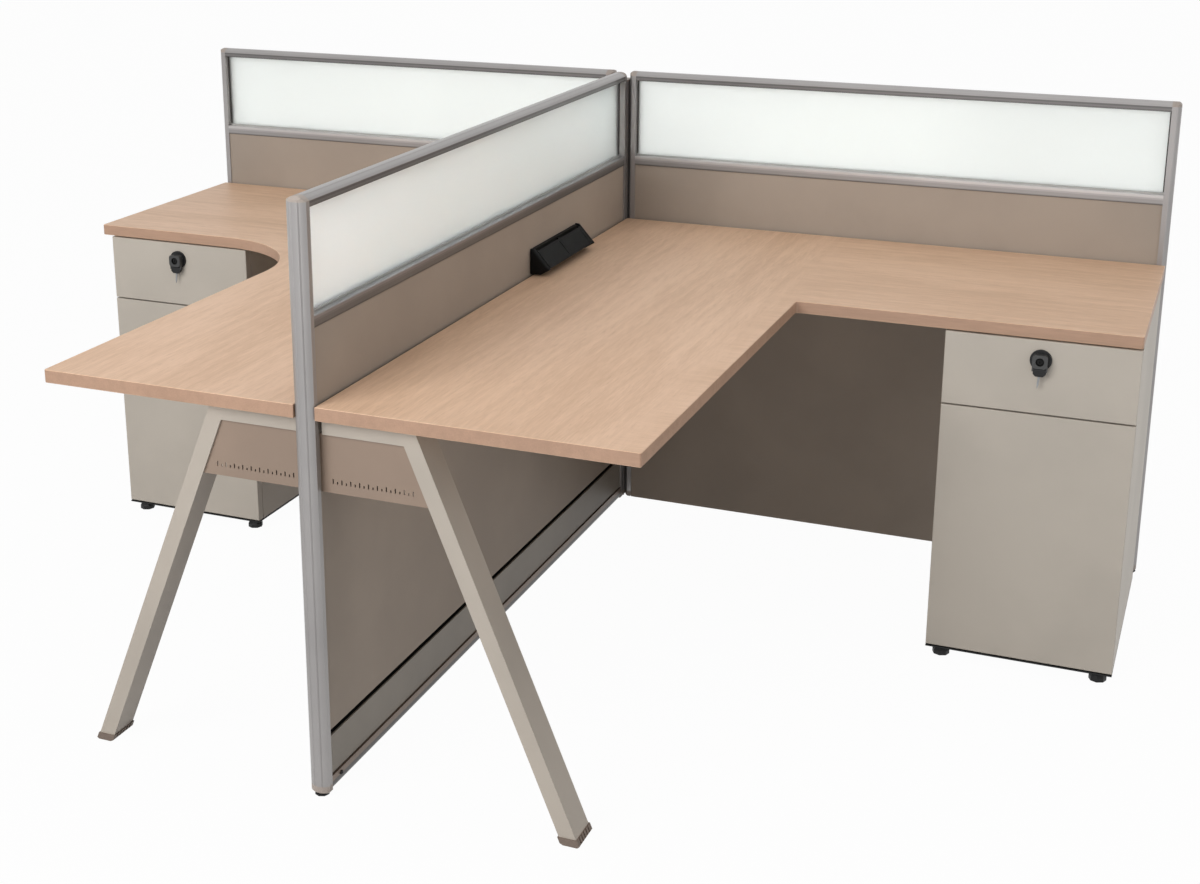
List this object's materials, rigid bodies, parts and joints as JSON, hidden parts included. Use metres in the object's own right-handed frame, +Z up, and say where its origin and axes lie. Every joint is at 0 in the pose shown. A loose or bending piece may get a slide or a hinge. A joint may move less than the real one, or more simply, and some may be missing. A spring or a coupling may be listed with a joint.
{
  "type": "office workstation",
  "caption": "Office workstation with L-shaped desks either side of a framed divider screen, rear screens, sloped legs, drawer pedestals with locks and power modules.",
  "frame": {"origin": "on the floor, under the middle of the whole outline", "axes": "+X along the rear screens towards the wider place, +Y from the open front towards the rear screens, +Z up"},
  "size_m": [2.45, 1.608, 1.115],
  "materials": {
    "aluminium": "satin anodised",
    "beige_plastic": "matt",
    "screen_board": "taupe laminate on a board core, matt",
    "frosted_glass": "frosted",
    "black_rubber": "matt",
    "dark_rail": "satin",
    "raceway_paint": "fine matt taupe",
    "wood_laminate": "fine wood grain, matt",
    "leg_paint": "fine textured",
    "taupe_plastic": "matt",
    "black_plastic": "matt",
    "pedestal_paint": "fine textured",
    "runner_steel": "zinc plated",
    "lock_metal": "dark satin",
    "lock_black": "semi-gloss"
  },
  "bodies": {
    "workstation": {"divider_stiles": "aluminium", "divider_top_rail": "aluminium", "divider_glass": "frosted_glass", "divider_board": "screen_board", "divider_bottom_rail": "dark_rail", "divider_raceway_tray": "dark_rail", "divider_raceway_covers": "raceway_paint", "rear_right_stiles": "aluminium", "rear_right_top_rail": "aluminium", "rear_right_glass": "frosted_glass", "rear_right_board": "screen_board", "rear_left_stiles": "aluminium", "rear_left_top_rail": "aluminium", "rear_left_glass": "frosted_glass", "rear_left_board": "screen_board", "junction_post": "aluminium", "screen_mid_rails": "aluminium", "glass_gaskets": "black_rubber", "screen_corner_caps": "beige_plastic", "levelling_feet": "black_plastic", "worktop_right": "wood_laminate", "worktop_left": "wood_laminate", "worktop_brackets": "runner_steel", "leg_top_tubes": "leg_paint", "leg_tubes": "leg_paint", "leg_gussets": "leg_paint", "leg_foot_caps": "taupe_plastic", "power_housing_right": "black_plastic", "power_housing_left": "black_plastic", "power_sockets": "black_plastic", "pedestal_bases": "black_plastic", "pedestal_case_right": "pedestal_paint", "pedestal_case_left": "pedestal_paint", "runner_fixed_members": "runner_steel"},
    "top_drawer_right": {"top_drawer_front_right": "pedestal_paint", "top_drawer_tray_right": "pedestal_paint", "top_runner_inner_right": "runner_steel", "lock_rosette_right": "lock_black"},
    "file_drawer_right": {"file_drawer_front_right": "pedestal_paint", "file_drawer_tray_right": "pedestal_paint", "file_runner_inner_right": "runner_steel"},
    "top_slide_right": {"top_runner_middle_right": "runner_steel"},
    "file_slide_right": {"file_runner_middle_right": "runner_steel"},
    "lock_right": {"lock_cylinder_right": "lock_metal"},
    "key_right": {"lock_key_right": "lock_black"},
    "power_lid_front_right_flap": {"power_lid_front_right": "black_plastic"},
    "power_lid_rear_right_flap": {"power_lid_rear_right": "black_plastic"},
    "top_drawer_left": {"top_drawer_front_left": "pedestal_paint", "top_drawer_tray_left": "pedestal_paint", "top_runner_inner_left": "runner_steel", "lock_rosette_left": "lock_black"},
    "file_drawer_left": {"file_drawer_front_left": "pedestal_paint", "file_drawer_tray_left": "pedestal_paint", "file_runner_inner_left": "runner_steel"},
    "top_slide_left": {"top_runner_middle_left": "runner_steel"},
    "file_slide_left": {"file_runner_middle_left": "runner_steel"},
    "lock_left": {"lock_cylinder_left": "lock_metal"},
    "key_left": {"lock_key_left": "lock_black"},
    "power_lid_front_left_flap": {"power_lid_front_left": "black_plastic"},
    "power_lid_rear_left_flap": {"power_lid_rear_left": "black_plastic"}
  },
  "joints": [
    {"name": "top_drawer_slide_right", "type": "slide", "parent": "workstation", "child": "top_drawer_right", "axis": [0, -1, 0], "range_m": [0, 0.4]},
    {"name": "top_runner_slide_right", "type": "slide", "parent": "workstation", "child": "top_slide_right", "axis": [0, -1, 0], "range_m": [0, 0.2]},
    {"name": "file_drawer_slide_right", "type": "slide", "parent": "workstation", "child": "file_drawer_right", "axis": [0, -1, 0], "range_m": [0, 0.4]},
    {"name": "file_runner_slide_right", "type": "slide", "parent": "workstation", "child": "file_slide_right", "axis": [0, -1, 0], "range_m": [0, 0.2]},
    {"name": "lock_turn_right", "type": "hinge", "parent": "top_drawer_right", "child": "lock_right", "pos_m": [1.033, 0.1497, 0.681], "axis": [0, -1, 0], "range_deg": [0, 90]},
    {"name": "key_fold_right", "type": "hinge", "parent": "lock_right", "child": "key_right", "pos_m": [1.033, 0.1567, 0.663], "axis": [-1, 0, 0], "range_deg": [0, 90]},
    {"name": "power_lid_front_right_hinge", "type": "hinge", "parent": "workstation", "child": "power_lid_front_right_flap", "pos_m": [-0.04512, 0.22925, 0.80188], "axis": [0, -1, 0], "range_deg": [0, 100]},
    {"name": "power_lid_rear_right_hinge", "type": "hinge", "parent": "workstation", "child": "power_lid_rear_right_flap", "pos_m": [-0.04512, 0.35475, 0.80188], "axis": [0, -1, 0], "range_deg": [0, 100]},
    {"name": "top_drawer_slide_left", "type": "slide", "parent": "workstation", "child": "top_drawer_left", "axis": [0, -1, 0], "range_m": [0, 0.4]},
    {"name": "top_runner_slide_left", "type": "slide", "parent": "workstation", "child": "top_slide_left", "axis": [0, -1, 0], "range_m": [0, 0.2]},
    {"name": "file_drawer_slide_left", "type": "slide", "parent": "workstation", "child": "file_drawer_left", "axis": [0, -1, 0], "range_m": [0, 0.4]},
    {"name": "file_runner_slide_left", "type": "slide", "parent": "workstation", "child": "file_slide_left", "axis": [0, -1, 0], "range_m": [0, 0.2]},
    {"name": "lock_turn_left", "type": "hinge", "parent": "top_drawer_left", "child": "lock_left", "pos_m": [-1.01, 0.1947, 0.681], "axis": [0, 1, 0], "range_deg": [0, 90]},
    {"name": "key_fold_left", "type": "hinge", "parent": "lock_left", "child": "key_left", "pos_m": [-1.01, 0.2017, 0.663], "axis": [-1, 0, 0], "range_deg": [0, 90]},
    {"name": "power_lid_front_left_hinge", "type": "hinge", "parent": "workstation", "child": "power_lid_front_left_flap", "pos_m": [-0.10488, 0.22925, 0.80188], "axis": [0, 1, 0], "range_deg": [0, 100]},
    {"name": "power_lid_rear_left_hinge", "type": "hinge", "parent": "workstation", "child": "power_lid_rear_left_flap", "pos_m": [-0.10488, 0.35475, 0.80188], "axis": [0, 1, 0], "range_deg": [0, 100]}
  ],
  "couplings": [
    {"joint": "top_runner_slide_right", "follows": "top_drawer_slide_right", "ratio": 0.5},
    {"joint": "file_runner_slide_right", "follows": "file_drawer_slide_right", "ratio": 0.5},
    {"joint": "top_runner_slide_left", "follows": "top_drawer_slide_left", "ratio": 0.5},
    {"joint": "file_runner_slide_left", "follows": "file_drawer_slide_left", "ratio": 0.5}
  ]
}
